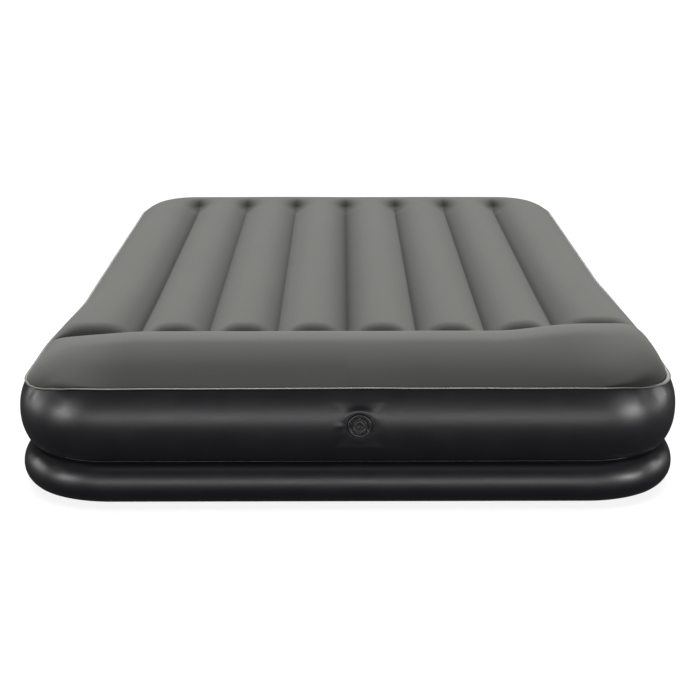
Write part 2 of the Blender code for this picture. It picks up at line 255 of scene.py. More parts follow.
FLOCK_COLOUR = (0.175, 0.177, 0.164)
FLOCK_SHEEN = (0.95, 0.95, 0.90)


def smoothstep(start, end, value):
    part = min(max((value - start) / (end - start), 0.0), 1.0)
    return part * part * (3.0 - 2.0 * part)


def taper(x, from_head):
    """The bed's sides are widest at the pillow; the channels run straight from end to end."""
    amount, start, end = LEFT_TAPER if x < 0 else RIGHT_TAPER
    at_edge = smoothstep(STRAIGHT_HALF, TAPERED_HALF, abs(x))
    return 1.0 - amount * (1.0 - at_edge * (1.0 - smoothstep(start, end, from_head)))


def corner_dip(x, from_head):
    """How far the top weld is pulled down round the head corners and along the sides."""
    across = smoothstep(WIDTH / 2 - CORNER_RADIUS, WIDTH / 2, abs(x))
    along = 1.0 - DIP_LOST * smoothstep(*DIP_RUN, from_head)
    return (LEFT_DIP if x < 0 else RIGHT_DIP) * across ** DIP_POWER * along


def cornerness(x, from_head):
    """1 at the bed's corners and 0 along its sides and ends."""
    across = smoothstep(WIDTH / 2 - CORNER_RADIUS, WIDTH / 2, abs(x))
    from_middle = abs(from_head - LENGTH / 2)
    along = smoothstep(LENGTH / 2 - CORNER_RADIUS, LENGTH / 2, from_middle)
    return across * along


def ripple(x, from_head, scale, seed):
    """Smooth noise over the plan, from -1 to 1."""
    return noise.noise(Vector((x * scale, from_head * scale, seed)))


def seam_wave(x, from_head):
    """How far the top weld wanders up and down, most where it is gathered at a corner."""
    corner = cornerness(x, from_head)
    at_head = 1.0 - smoothstep(0.0, SEAM_BOW_DEPTH, from_head)
    bow = SEAM_BOW * (1.0 - (2.0 * x / WIDTH) ** 2) * at_head
    gathers = SEAM_GATHER * corner * ripple(x, from_head, 32.0, 8.4)
    return bow + SEAM_WANDER * ripple(x, from_head, 7.0, 3.1) + gathers


def side_fullness(x):
    """How far the top weld is pushed out along the bed's sides."""
    across = smoothstep(WIDTH / 2 - CORNER_RADIUS, WIDTH / 2 - 0.3 * CORNER_RADIUS, abs(x))
    return math.copysign(SIDE_FULLNESS * across, x)


def settle(x, from_head, height):
    """A point of the plain rounded block, moved to where the inflated skin lies."""
    risen = smoothstep(WAIST_HEIGHT, SEAM_HEIGHT, height)
    near_seam = smoothstep(SEAM_HEIGHT - SEAM_REACH, SEAM_HEIGHT, height)
    dip = corner_dip(x, from_head) * risen
    wave = seam_wave(x, from_head) * near_seam
    full = side_fullness(x) * smoothstep(BULGE_HEIGHT, SEAM_HEIGHT, height)
    return Vector((x * taper(x, from_head) + full, from_head + HEAD, height - dip + wave))


def half_width(from_head, inset):
    """Half the plan's width at a distance from the head plane."""
    radius = CORNER_RADIUS - inset
    into_corner = abs(from_head - LENGTH / 2) - (LENGTH / 2 - CORNER_RADIUS)
    flat = WIDTH / 2 - CORNER_RADIUS
    if into_corner <= 0:
        return flat + radius
    return flat + math.sqrt(max(radius * radius - into_corner * into_corner, 0.0))


def edge_distance(x, from_head, inset):
    """Distance inwards from the rounded outline at this inset."""
    across = abs(x) - (WIDTH / 2 - CORNER_RADIUS)
    along = abs(from_head - LENGTH / 2) - (LENGTH / 2 - CORNER_RADIUS)
    outside = math.hypot(max(across, 0.0), max(along, 0.0)) + min(max(across, along), 0.0)
    return max(CORNER_RADIUS - inset - outside, 0.0)


def pillow_end(x):
    """1 towards the pillow's right end, which stands fuller than the rest."""
    return smoothstep(*RIGHT_END_RUN, x)


def crown(x, from_head):
    """Height of the top away from its edge: pillow, crease, channels, foot border."""
    lift = RIGHT_PILLOW_LIFT * pillow_end(x) - LEFT_PILLOW_DROP * smoothstep(*LEFT_DROP_RUN, -x)
    pillow = PILLOW_HEIGHT + lift + PILLOW_RIPPLE * ripple(x, 0.0, 4.0, 1.7)
    if from_head < PILLOW_CREST:
        return pillow
    channel = channel_height(x, from_head)
    past_pillow = smoothstep(PILLOW_CREST, CREASE_PLACE + CREASE_RISE, from_head)
    uncreased = pillow + (channel - pillow) * past_pillow
    creased = 1.0 - smoothstep(PILLOW_HALF[0], PILLOW_HALF[1], abs(x))
    if from_head < CREASE_PLACE:
        part = (from_head - PILLOW_CREST) / (CREASE_PLACE - PILLOW_CREST)
        fall = (1.0 - part ** PILLOW_BACK_POWER) ** (1.0 / PILLOW_BACK_POWER)
        valley = CREASE_HEIGHT + (pillow - CREASE_HEIGHT) * fall
    else:
        part = min((from_head - CREASE_PLACE) / CREASE_RISE, 1.0)
        rise = math.sqrt(1.0 - (1.0 - part) ** 2)
        floor_height = min(CREASE_HEIGHT, channel)
        valley = floor_height + (channel - floor_height) * rise
    return uncreased + (valley - uncreased) * creased


def channel_height(x, from_head):
    """Height of the channels between the grooves, and of the plain border past their end."""
    half = GROOVE_SPACING / 2
    past_last = abs(x) - GROOVES_PER_SIDE * GROOVE_SPACING
    if past_last > 0:
        from_crest = max(half - past_last, 0.0)
    else:
        from_crest = abs(abs(x) % GROOVE_SPACING - half)
    drop = (CREST_HEIGHT - GROOVE_HEIGHT) * (from_crest / half) ** CHANNEL_POWER
    fade = smoothstep(GROOVE_END - GROOVE_FADE / 2, GROOVE_END + GROOVE_FADE / 2, from_head)
    return CREST_HEIGHT + CHANNEL_RIPPLE * ripple(x, from_head, 2.5, 5.2) - drop * (1.0 - fade)


def painted_flock_shade(x, from_head):
    """Painted shade on the pile beside each weld, deepest on the flanks that face the middle, and on
    the pillow's face.
    """
    ended = smoothstep(GROOVE_END - GROOVE_FADE, GROOVE_END + GROOVE_FADE / 2, from_head)
    started = smoothstep(CREASE_PLACE - 0.02, CREASE_PLACE, from_head)
    beyond = abs(x) % GROOVE_SPACING
    outer = GROOVES_PER_SIDE * GROOVE_SPACING
    if abs(x) >= outer:
        beyond = abs(x) - outer
    inward = INWARD_SHADE * math.exp(-beyond / INWARD_SHADE_REACH)
    outward = 0.0
    if abs(x) < outer:
        outward = OUTWARD_SHADE * math.exp(-(GROOVE_SPACING - beyond) / OUTWARD_SHADE_REACH)
    beside_weld = max(inward, outward) * (1.0 - ended) * started
    fade_start = PILLOW_CREST - FACE_SHADE_FADE[0]
    fade_end = PILLOW_CREST + FACE_SHADE_FADE[1]
    face = FACE_SHADE * (1.0 - smoothstep(fade_start, fade_end, from_head))
    face *= 1.0 - FACE_END_LOSS * smoothstep(*FACE_END_RUN, abs(x))
    return beside_weld + face


def top_point(x, from_head):
    """A point of the top sheet, whose shoulder falls to the weld round its edge."""
    edge = SEAM_HEIGHT + SEAM_HALF - corner_dip(x, from_head) + seam_wave(x, from_head)
    foot = smoothstep(LENGTH - 3 * SHOULDER, LENGTH - SHOULDER, from_head)
    shoulder = SHOULDER + (FOOT_SHOULDER - SHOULDER) * foot
    by_pillow = 1.0 - smoothstep(*PILLOW_SHOULDER_FADE, from_head)
    shoulder += (PILLOW_SHOULDERS[0 if x < 0 else 1] - SHOULDER) * by_pillow
    part = min(edge_distance(x, from_head, SEAM_INSET) / shoulder, 1.0)
    share = 1.0 - (1.0 - part) ** SHOULDER_POWER
    if SEAM_INSET < from_head < PILLOW_CREST and share > 0:
        along = (from_head - SEAM_INSET) / (PILLOW_CREST - SEAM_INSET)
        face = 1.0 - (1.0 - along) ** PILLOW_FACE_POWER
        share = 1.0 / math.sqrt(1.0 / (share * share) + 1.0 / (face * face) - 1.0)
    height = crown(x, from_head)
    if height < edge:
        share = smoothstep(GROOVE_SHOULDER_START, 2 * SHOULDER, part * shoulder)
    past_face = smoothstep(SHIFT_START, PILLOW_CREST, from_head)
    shifted = past_face * (1.0 - smoothstep(*SHIFT_FADE, from_head))
    shift = RIGHT_PILLOW_SHIFT * pillow_end(x) * shifted
    full = side_fullness(x) * (1.0 - part) ** 2
    return Vector((
        x * taper(x, from_head) + full, from_head + shift + HEAD, edge + (height - edge) * share
    ))


def spread(start, end, steps, ease=0.0):
    """Places after start up to end; ease 1 crowds them at both ends, 0 spaces them evenly."""
    places = []
    for step in range(1, steps + 1):
        even = step / steps
        crowded = (1.0 - math.cos(math.pi * even)) / 2
        places.append(start + (end - start) * (even + (crowded - even) * ease))
    return places


def top_rows():
    """Distances from the head plane of the rows of points, closest at creases and seams."""
    rows = [SEAM_INSET] + spread(SEAM_INSET, PILLOW_CREST, 18, 0.6)
    rows += spread(PILLOW_CREST, CREASE_PLACE, 22, 0.7)
    rows += spread(CREASE_PLACE, CREASE_PLACE + CREASE_RISE, 10, 0.6)
    main = LENGTH - CORNER_RADIUS
    count = round((main - CREASE_PLACE - CREASE_RISE) / ROW_SPACING)
    rows += spread(CREASE_PLACE + CREASE_RISE, main, count)
    rows += spread(main, GROOVE_END, 8)
    return rows + spread(GROOVE_END, LENGTH - SEAM_INSET, 13, 0.5)


def top_columns(from_head):
    """x of each column: fixed between the outer grooves, then squeezed into the corners."""
    inner = [-GROOVES_PER_SIDE * GROOVE_SPACING]
    for _ in range(2 * GROOVES_PER_SIDE):
        inner += spread(inner[-1], inner[-1] + GROOVE_SPACING, 14, 0.8)
    outer = spread(inner[-1], half_width(from_head, SEAM_INSET), 16, 0.6)
    return [-x for x in reversed(outer)] + inner + outer


def add_piece(name, mesh, finish, body="shell"):
    """Turn a bmesh into a smooth-shaded piece that rides on a body."""
    data = bpy.data.meshes.new(name)
    mesh.to_mesh(data)
    mesh.free()
    data.materials.append(finish)
    data.shade_smooth()
    piece = bpy.data.objects.new(name, data)
    scene.collection.objects.link(piece)
    if body:
        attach(piece, body)
    return piece


def thicken(piece, thickness, offset=-1.0):
    solid = piece.modifiers.new("wall", "SOLIDIFY")
    solid.thickness = thickness
    solid.offset = offset


def refine(piece, levels):
    fine = piece.modifiers.new("fine", "SUBSURF")
    fine.levels = levels
    fine.render_levels = levels


joints = {joint["name"]: joint for joint in frame["record"]["behaviour"]["joints"]}
DEFLATED = 1.0 - joints["deflate"]["range_m"][1] / SEAM_HEIGHT


def flatten_with_air(piece):
    """Give the piece its own copy of its mesh."""
    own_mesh(piece)


class Shade:
    """A shader socket that can be added to, multiplied and passed on to other nodes."""

    def __init__(self, tree, socket=None):
        self.tree = tree
        self.socket = socket

    def node(self, kind, inputs=None, out=0, **settings):
        made = self.tree.nodes.new(kind)
        for key, value in settings.items():
            setattr(made, key, value)
        for key, value in (inputs or {}).items():
            if isinstance(value, Shade):
                self.tree.links.new(value.socket, made.inputs[key])
            else:
                made.inputs[key].default_value = value
        return Shade(self.tree, made.outputs[out])

    def reckon(self, other, operation):
        return self.node("ShaderNodeMath", {0: self, 1: other}, operation=operation)

    def __add__(self, other):
        return self.reckon(other, "ADD")

    __radd__ = __add__

    def __mul__(self, other):
        return self.reckon(other, "MULTIPLY")

    __rmul__ = __mul__

    def mix(self, first, second):
        """Colour from first to second, by this value."""
        return self.node("ShaderNodeMix", {0: self, 6: first, 7: second}, out=2, data_type="RGBA")

    def noise(self, scale, detail=2.0, stretch=(1.0, 1.0, 1.0)):
        """Noise from 0 to 1 on the piece's own coordinates."""
        place = self.node("ShaderNodeTexCoord", out=3)
        turned = self.node("ShaderNodeMapping", {"Vector": place, "Scale": stretch})
        return self.node("ShaderNodeTexNoise", {"Vector": turned, "Scale": scale, "Detail": detail})


def new_finish(name, roughness, colour):
    """A material whose fixed values are set; returns it, its shader and a Shade to build with."""
    made = bpy.data.materials.new(name)
    made.use_nodes = True
    shader = made.node_tree.nodes["Principled BSDF"]
    shader.inputs["Base Color"].default_value = (*colour, 1.0)
    shader.inputs["Roughness"].default_value = roughness
    return made, shader, Shade(made.node_tree)


def feed(shader, socket, value):
    value.tree.links.new(value.socket, shader.inputs[socket])


def tone(colour, factor):
    return (*(part * factor for part in colour), 1.0)


def bump(build, height, strength, distance):
    return build.node(
        "ShaderNodeBump", {"Height": height, "Strength": strength, "Distance": distance}
    )


flock, flock_shader, build = new_finish("flocking", 0.95, FLOCK_COLOUR)
flock_shader.inputs["Specular IOR Level"].default_value = 0.15
flock_shader.inputs["Sheen Weight"].default_value = 0.10
flock_shader.inputs["Sheen Roughness"].default_value = 0.45
flock_shader.inputs["Sheen Tint"].default_value = (*FLOCK_SHEEN, 1.0)
nap = build.noise(5.0, 3.0, (1.0, 0.5, 1.0))
fibre = build.noise(900.0, 1.0)
speck = build.noise(260.0, 2.0)
brushed = nap.mix(tone(FLOCK_COLOUR, 0.90), tone(FLOCK_COLOUR, 1.10))
speckled = (speck * 0.5 + fibre * 0.5).mix(tone(FLOCK_COLOUR, 0.78), brushed)
# Painted shade: darkens the flocking's colour towards black beside the welds and on the pillow's
# face.
painted_shade_attribute = build.node("ShaderNodeAttribute", out=2, attribute_name="painted_shade_attribute")
feed(flock_shader, "Base Color", painted_shade_attribute.mix(speckled, (0.0, 0.0, 0.0, 1.0)))
feed(flock_shader, "Normal", bump(build, fibre * 0.6 + speck * 0.4, 0.35, 0.0008))

rows = top_rows()
column_count = len(top_columns(rows[0]))
top_mesh = bmesh.new()
bmesh.ops.create_grid(
    top_mesh, x_segments=column_count - 1, y_segments=len(rows) - 1, size=1
)
# Each point of the top carries its painted shade, beside the welds and on the pillow's face.
painted_shade_layer = top_mesh.verts.layers.float.new("painted_shade_attribute")
for vertex in top_mesh.verts:
    row = rows[round((vertex.co.y + 1) / 2 * (len(rows) - 1))]
    x = top_columns(row)[round((vertex.co.x + 1) / 2 * (column_count - 1))]
    vertex.co = top_point(x, row)
    vertex[painted_shade_layer] = painted_flock_shade(x, row)
top_mesh.normal_update()
flocked_top = add_piece("flocked_top", top_mesh, flock)
thicken(flocked_top, SHEET)
refine(flocked_top, 1)
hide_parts("top_sheet")
flatten_with_air(flocked_top)


# ---------------------------------------------------------------- side wall, upper deck
# A strip of satin charcoal PVC that bulges between the top weld and the waist weld,
# gathered into small puckers at the rounded corners, with a flat round the valve.
VINYL_COLOUR = (0.0042, 0.0042, 0.0054)
seat_low, seat_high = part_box("valve_seat")
VALVE_X = (seat_low.x + seat_high.x) / 2
VALVE_HEIGHT = (seat_low.z + seat_high.z) / 2
FLANGE_RADIUS = (seat_high.x - seat_low.x) / 2
VALVE_FLAT_DEPTH = 0.0032
HOLE_RADIUS = 0.0295
FLAT_RADIUS = 0.0310
FLAT_RIM = 0.013
PATCH_HALF = 0.056
PUCKER_SCALE = 42.0
FINE_PUCKER_SCALE = 95.0
FINE_PUCKER = 0.45
PUCKER_SIZE = 0.0006
CORNER_PUCKER = 0.0070
TOP_PUCKER_REACH = 0.030
WAIST_PUCKER_REACH = 0.024
RELIEF_STEP = 0.01
MERGE = 1e-6


def outline(inset, cell=CELL):
    """The bed's rounded rectangle in plan, as evenly spaced (x, distance from the head)."""
    radius = CORNER_RADIUS - inset
    arc_steps = round(CORNER_RADIUS * math.pi / 2 / cell)
    sides = (
        (1, 1, -90, LENGTH), (1, -1, 0, WIDTH), (-1, -1, 90, LENGTH), (-1, 1, 180, WIDTH),
    )
    points = []
    for side, end, start, following_side in sides:
        centre_x = side * (WIDTH / 2 - CORNER_RADIUS)
        centre_y = LENGTH / 2 - end * (LENGTH / 2 - CORNER_RADIUS)
        for step in range(arc_steps):
            angle = math.radians(start + 90.0 * step / arc_steps)
            points.append((centre_x + radius * math.cos(angle), centre_y + radius * math.sin(angle)))
        last = math.radians(start + 90.0)
        run = following_side - 2 * CORNER_RADIUS
        steps = round(run / cell)
        for step in range(steps):
            move = run * step / steps
            heading = last + math.pi / 2
            points.append((
                centre_x + radius * math.cos(last) + move * math.cos(heading),
                centre_y + radius * math.sin(last) + move * math.sin(heading),
            ))
    return points


def quarter_ellipse(start, end, steps, upright_at_start):
    """Points from start to end along a quarter of an ellipse, in (inset, height)."""
    points = []
    for step in range(steps + 1):
        angle = math.radians(90.0 * step / steps)
        slow, fast = 1.0 - math.cos(angle), math.sin(angle)
        if not upright_at_start:
            slow, fast = fast, slow
        points.append((
            start[0] + (end[0] - start[0]) * slow,
            start[1] + (end[1] - start[1]) * fast,
        ))
    return points


def pucker(x, from_head, height, weld_height, reach, seed):
    """Inward gathers that run away from a weld, strong at the corners."""
    away = abs(height - weld_height) / reach
    if away > 3.0:
        return 0.0
    corner = cornerness(x, from_head)
    fold = ripple(x, from_head, PUCKER_SCALE, seed + height * 6.0)
    fine = ripple(x, from_head, FINE_PUCKER_SCALE, seed + height * 9.0)
    size = PUCKER_SIZE + CORNER_PUCKER * corner
    fade = math.exp(-away * away) * min(away * 4.0 + 0.25, 1.0)
    return size * (fold + FINE_PUCKER * fine) * fade


def round_bed(profile, relief, closed=False, cell=CELL):
    """Sweep (inset, height) points round the bed; relief gives each point's extra inset."""
    if closed:
        profile = profile + profile[:1]
    rings = []
    for inset, height in profile:
        ring = []
        for (x, from_head), (deep_x, deep_from_head) in zip(
                outline(inset, cell), outline(inset + RELIEF_STEP, cell)):
            extra = relief(x, from_head, height) / RELIEF_STEP
            shifted_x = x + (deep_x - x) * extra
            shifted_y = from_head + (deep_from_head - from_head) * extra
            ring.append(settle(shifted_x, shifted_y, height))
        rings.append(ring)
    around = len(rings[0])
    mesh = bmesh.new()
    bmesh.ops.create_grid(mesh, x_segments=around, y_segments=len(rings) - 1, size=1)
    for vertex in mesh.verts:
        station = round((vertex.co.x + 1) / 2 * around) % around
        vertex.co = rings[round((vertex.co.y + 1) / 2 * (len(rings) - 1))][station]
    bmesh.ops.remove_doubles(mesh, verts=mesh.verts, dist=MERGE)
    bmesh.ops.recalc_face_normals(mesh, faces=mesh.faces)
    face = max(mesh.faces, key=lambda candidate: abs(candidate.normal.y))
    if not closed and face.normal.y * face.calc_center_median().y < 0:
        bmesh.ops.reverse_faces(mesh, faces=mesh.faces)
    return mesh


def upper_relief(x, from_head, height):
    top = pucker(x, from_head, height, SEAM_HEIGHT, TOP_PUCKER_REACH, 2.0)
    return top + pucker(x, from_head, height, WAIST_HEIGHT, WAIST_PUCKER_REACH, 7.0)


def valve_flat(point):
    """Press the wall flat against the valve's flange, with a soft rim round it."""
    from_valve = math.hypot(point.x - VALVE_X, point.z - VALVE_HEIGHT)
    if point.y > 0 or from_valve > 2 * FLANGE_RADIUS:
        return
    press = 1.0 - smoothstep(FLAT_RADIUS, FLAT_RADIUS + FLAT_RIM, from_valve)
    flat = HEAD + VALVE_FLAT_DEPTH
    point.y += (flat - point.y) * press


def cut_valve_hole(mesh, profile):
    """Open a round hole in the wall for the valve and join it to the grid round it."""
    for vertex in mesh.verts:
        vertex.tag = True
    inside = [
        face for face in mesh.faces
        if face.calc_center_median().y < 0
        and abs(face.calc_center_median().x - VALVE_X) < PATCH_HALF
        and abs(face.calc_center_median().z - VALVE_HEIGHT) < PATCH_HALF
    ]
    edges = {edge for face in inside for edge in face.edges}
    rim = [edge for edge in edges if sum(face in inside for face in edge.link_faces) == 1]
    bearings = {
        vertex: math.atan2(vertex.co.z - VALVE_HEIGHT, vertex.co.x - VALVE_X)
        for edge in rim for vertex in edge.verts
    }
    outer = sorted(bearings, key=bearings.get)
    bmesh.ops.delete(mesh, geom=inside, context="FACES")
    ring = []
    for vertex in outer:
        across = HOLE_RADIUS * math.cos(bearings[vertex])
        up = HOLE_RADIUS * math.sin(bearings[vertex])
        place = (VALVE_X + across, HEAD + VALVE_FLAT_DEPTH, VALVE_HEIGHT + up)
        ring.append(mesh.verts.new(place))
    for index, vertex in enumerate(outer):
        after = (index + 1) % len(outer)
        mesh.faces.new((vertex, outer[after], ring[after], ring[index])).smooth = True
    spokes = [mesh.edges.get(pair) for pair in zip(outer, ring)]
    bmesh.ops.subdivide_edges(mesh, edges=spokes, cuts=7, use_grid_fill=True)
    insets, heights = zip(*profile)
    for vertex in mesh.verts:
        if not vertex.tag:
            vertex.co.y = HEAD + float(np.interp(vertex.co.z, heights, insets))
    bmesh.ops.recalc_face_normals(mesh, faces=mesh.faces)
    face = max(mesh.faces, key=lambda candidate: abs(candidate.normal.y))
    if face.normal.y * face.calc_center_median().y < 0:
        bmesh.ops.reverse_faces(mesh, faces=mesh.faces)


vinyl, vinyl_shader, build = new_finish("charcoal_vinyl", 0.36, VINYL_COLOUR)
vinyl_shader.inputs["Specular IOR Level"].default_value = 0.32
grain = build.noise(1400.0, 2.0)
mottle = build.noise(14.0, 3.0)
creases = build.noise(70.0, 3.0, (1.0, 1.0, 0.25))
feed(vinyl_shader, "Base Color", mottle.mix(tone(VINYL_COLOUR, 0.8), tone(VINYL_COLOUR, 1.25)))
feed(vinyl_shader, "Roughness", 0.32 + mottle * 0.08 + grain * 0.04)
feed(vinyl_shader, "Normal", bump(build, grain * 0.10 + creases * 0.25, 0.22, 0.0010))

lower_part = quarter_ellipse(
    (WAIST_INSET, WAIST_HEIGHT + SEAM_HALF), (0.0, BULGE_HEIGHT), 12, False
)
upper_part = [
    (SEAM_INSET * part * part, BULGE_HEIGHT + part * (SEAM_HEIGHT - SEAM_HALF - BULGE_HEIGHT))
    for part in spread(0.0, 1.0, 10)
]
upper_mesh = round_bed(lower_part + upper_part, upper_relief)
cut_valve_hole(upper_mesh, lower_part + upper_part)
for vertex in upper_mesh.verts:
    valve_flat(vertex.co)
upper_wall = add_piece("upper_wall", upper_mesh, vinyl)
thicken(upper_wall, SHEET)
refine(upper_wall, 1)
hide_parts("upper_side_wall")
flatten_with_air(upper_wall)


# ---------------------------------------------------------------- side wall, lower deck
# The same charcoal PVC, one strip that bulges from the waist weld down to the bottom
# weld, which is tucked in under it.
lower_seam_low, lower_seam_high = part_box("bottom_seam")
BOTTOM_INSET = 0.060
LOWER_BULGE = (0.0, 0.052)
LOWER_PUCKER_REACH = 0.020


def lower_relief(x, from_head, height):
    return pucker(x, from_head, height, WAIST_HEIGHT, LOWER_PUCKER_REACH, 11.0)


under = quarter_ellipse((BOTTOM_INSET, lower_seam_high.z + 0.0003), LOWER_BULGE, 10, False)
over = quarter_ellipse(LOWER_BULGE, (WAIST_INSET, WAIST_HEIGHT - SEAM_HALF), 12, True)
lower_wall = add_piece("lower_wall", round_bed(under + over[1:], lower_relief), vinyl)
thicken(lower_wall, SHEET)
refine(lower_wall, 1)
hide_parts("lower_side_wall")
flatten_with_air(lower_wall)


# ---------------------------------------------------------------- welds
# Where two sheets meet, their edges are pressed into one fin a few millimetres wide.
# The top one shows the grey back of the flocked sheet as a thin pale line.
TOP_WELD_COLOUR = (0.085, 0.085, 0.08)
WELD_LAP = 0.006
WAIST_FIN = 0.003
WAIST_HALF = 0.0007
BOTTOM_HALF = SEAM_HALF * 0.9


def no_relief(x, from_head, height):
    return 0.0


def add_weld(name, node, inset, height, fin, half, finish, cell=CELL):
    """A flat fin that runs all round the bed, rounded at its free edge."""
    profile = [
        (inset - fin, height - half * 0.5), (inset - fin + half, height - half),
        (inset + WELD_LAP, height - half), (inset + WELD_LAP, height + half),
        (inset - fin + half, height + half), (inset - fin, height + half * 0.5),
    ]
    weld = add_piece(name, round_bed(profile, no_relief, closed=True, cell=cell), finish)
    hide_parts(node)
    flatten_with_air(weld)


pale_weld, pale_shader, build = new_finish("flocked_weld", 0.6, TOP_WELD_COLOUR)
fleck = build.noise(300.0, 2.0)
feed(pale_shader, "Base Color", fleck.mix(tone(TOP_WELD_COLOUR, 0.7), tone(TOP_WELD_COLOUR, 1.25)))
feed(pale_shader, "Normal", bump(build, fleck, 0.3, 0.0006))

WELD_COLOUR = (0.016, 0.016, 0.018)
dark_weld, dark_shader, build = new_finish("vinyl_weld", 0.3, WELD_COLOUR)
press_marks = build.noise(220.0, 2.0)
feed(dark_shader, "Base Color", press_marks.mix(tone(WELD_COLOUR, 0.8), tone(WELD_COLOUR, 1.6)))
feed(dark_shader, "Normal", bump(build, press_marks, 0.35, 0.0008))

add_weld("top_weld", "top_seam", SEAM_INSET, SEAM_HEIGHT, SEAM_FIN, SEAM_HALF, pale_weld)
add_weld("waist_weld", "waist_seam", WAIST_INSET, WAIST_HEIGHT, WAIST_FIN, WAIST_HALF, dark_weld)
bottom_mid = (lower_seam_low.z + lower_seam_high.z) / 2
add_weld("bottom_weld", "bottom_seam", BOTTOM_INSET, bottom_mid, SEAM_FIN, BOTTOM_HALF, dark_weld)


# ---------------------------------------------------------------- bottom sheet
# A flat sheet of the same charcoal PVC on the floor, welded to the lower wall round its
# edge and to the foot of each beam along seven straight lines.
BEAM_LINE = 0.004
BEAM_LINE_HEIGHT = 0.0006
BEAM_START = 0.430


def beam_line(x, from_head):
    """1 on the weld of a beam's foot and 0 away from it."""
    if not BEAM_START < from_head < GROOVE_END:
        return 0.0
    from_line = min(abs(x - GROOVE_SPACING * number) for number in GROOVES)
    return 1.0 - smoothstep(BEAM_LINE, 2 * BEAM_LINE, from_line)


floor_rows = [BOTTOM_INSET] + spread(BOTTOM_INSET, CORNER_RADIUS, 8, 0.4)
floor_rows += spread(CORNER_RADIUS, LENGTH - CORNER_RADIUS, 60)
floor_rows += spread(LENGTH - CORNER_RADIUS, LENGTH - BOTTOM_INSET, 8, 0.4)


def floor_columns(from_head):
    """x of each column, with five close together on every beam's weld."""
    inner = []
    for number in GROOVES:
        centre = GROOVE_SPACING * number
        inner += [centre - 2 * BEAM_LINE, centre - BEAM_LINE, centre, centre + BEAM_LINE]
        inner += [centre + 2 * BEAM_LINE] + spread(
            centre + 2 * BEAM_LINE, centre + GROOVE_SPACING - 2 * BEAM_LINE, 4)[:3]
    inner = inner[:-3]
    outer = spread(inner[-1], half_width(from_head, BOTTOM_INSET), 6)
    return [-x for x in reversed(outer)] + inner + outer


floor_column_count = len(floor_columns(floor_rows[0]))
bottom_mesh = bmesh.new()
bmesh.ops.create_grid(
    bottom_mesh, x_segments=floor_column_count - 1, y_segments=len(floor_rows) - 1, size=1
)
for vertex in bottom_mesh.verts:
    row = floor_rows[round((vertex.co.y + 1) / 2 * (len(floor_rows) - 1))]
    x = floor_columns(row)[round((vertex.co.x + 1) / 2 * (floor_column_count - 1))]
    vertex.co = (x * taper(x, row), row + HEAD, BEAM_LINE_HEIGHT * beam_line(x, row))
bmesh.ops.reverse_faces(bottom_mesh, faces=bottom_mesh.faces)
bottom_sheet = add_piece("ground_sheet", bottom_mesh, vinyl)
thicken(bottom_sheet, SHEET)
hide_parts("bottom_sheet")


# ---------------------------------------------------------------- inner beams and girdle
# Upright strips of plain grey PVC that hold the top down: seven along the bed and one
# across it behind the pillow. A row of small holes in each lets the air pass. A flat
# girdle band inside the waist weld keeps the walls from spreading.
INNER_COLOUR = (0.10, 0.10, 0.105)
HOLE_SPAN = 0.034
HOLE_EVERY = 8
FIRST_HOLE = 2
HOLE_MARGIN = 0.003
BEAM_FOOT = 0.0015
BEAM_TOP_GAP = 0.0030
BEAM_END_GAP = 0.02
inner_vinyl, inner_shader, build = new_finish("inner_vinyl", 0.5, INNER_COLOUR)
cloudy = build.noise(30.0, 2.0)
feed(inner_shader, "Base Color", cloudy.mix(tone(INNER_COLOUR, 0.85), tone(INNER_COLOUR, 1.15)))
feed(inner_shader, "Roughness", 0.42 + cloudy * 0.15)


def on_edge(edge, length, height):
    """True for an edge of the strip's own outline."""
    first, second = (vertex.co for vertex in edge.verts)
    along = (first.x + second.x) / 2
    up = (first.y + second.y) / 2
    return along < 1e-4 or along > length - 1e-4 or up < 1e-4 or up > height - 1e-4


def add_beam(name, node, length, height, place):
    """A thin upright strip with a row of holes; place puts (along, up) in the bed."""
    cells = round(length / HOLE_SPAN)
    rise = max(round(height / HOLE_SPAN), 4)
    mesh = bmesh.new()
    bmesh.ops.create_grid(mesh, x_segments=cells, y_segments=rise, size=1)
    middle = rise // 2
    holes = []
    for face in mesh.faces:
        centre = face.calc_center_median()
        column = int((centre.x + 1) / 2 * cells)
        if int((centre.y + 1) / 2 * rise) == middle and column % HOLE_EVERY == FIRST_HOLE:
            holes.append(face)
    for vertex in mesh.verts:
        vertex.co = ((vertex.co.x + 1) / 2 * length, (vertex.co.y + 1) / 2 * height, 0.0)
    bmesh.ops.inset_individual(mesh, faces=holes, thickness=HOLE_MARGIN)
    bmesh.ops.delete(mesh, geom=holes, context="FACES_ONLY")
    hole_edges = [
        edge for edge in mesh.edges if edge.is_boundary and not on_edge(edge, length, height)
    ]
    bmesh.ops.subdivide_edges(mesh, edges=hole_edges, cuts=1)
    for vertex in mesh.verts:
        vertex.co = place(vertex.co.x, vertex.co.y)
    beam = add_piece(name, mesh, inner_vinyl)
    thicken(beam, SHEET, 0.0)
    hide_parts(node)
    flatten_with_air(beam)


for number in GROOVES:
    centre = GROOVE_SPACING * number

    def stand(along, up, centre=centre):
        from_head = BEAM_START + along
        return Vector((centre * taper(centre, from_head), from_head + HEAD, BEAM_FOOT + up))

    top = min(top_point(centre, BEAM_START + 0.05 * step).z for step in range(2, 28))
    add_beam(
        f"long_beam_{number + 4}", f"beam_{number + 4}", GROOVE_END - BEAM_END_GAP - BEAM_START,
        top - BEAM_FOOT - BEAM_TOP_GAP, stand,
    )

pillow_low, pillow_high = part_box("pillow_beam")


def stand_across(along, up):
    return Vector((pillow_low.x + along, HEAD + CREASE_PLACE, BEAM_FOOT + up))


crease_top = min(top_point(-0.5 + 0.1 * step, CREASE_PLACE).z for step in range(11))
add_beam(
    "cross_beam", "pillow_beam", pillow_high.x - pillow_low.x,
    min(crease_top, pillow_high.z) - BEAM_FOOT - BEAM_TOP_GAP, stand_across,
)

frame["nodes"]["girdle_band"].data.materials.clear()
frame["nodes"]["girdle_band"].data.materials.append(inner_vinyl)


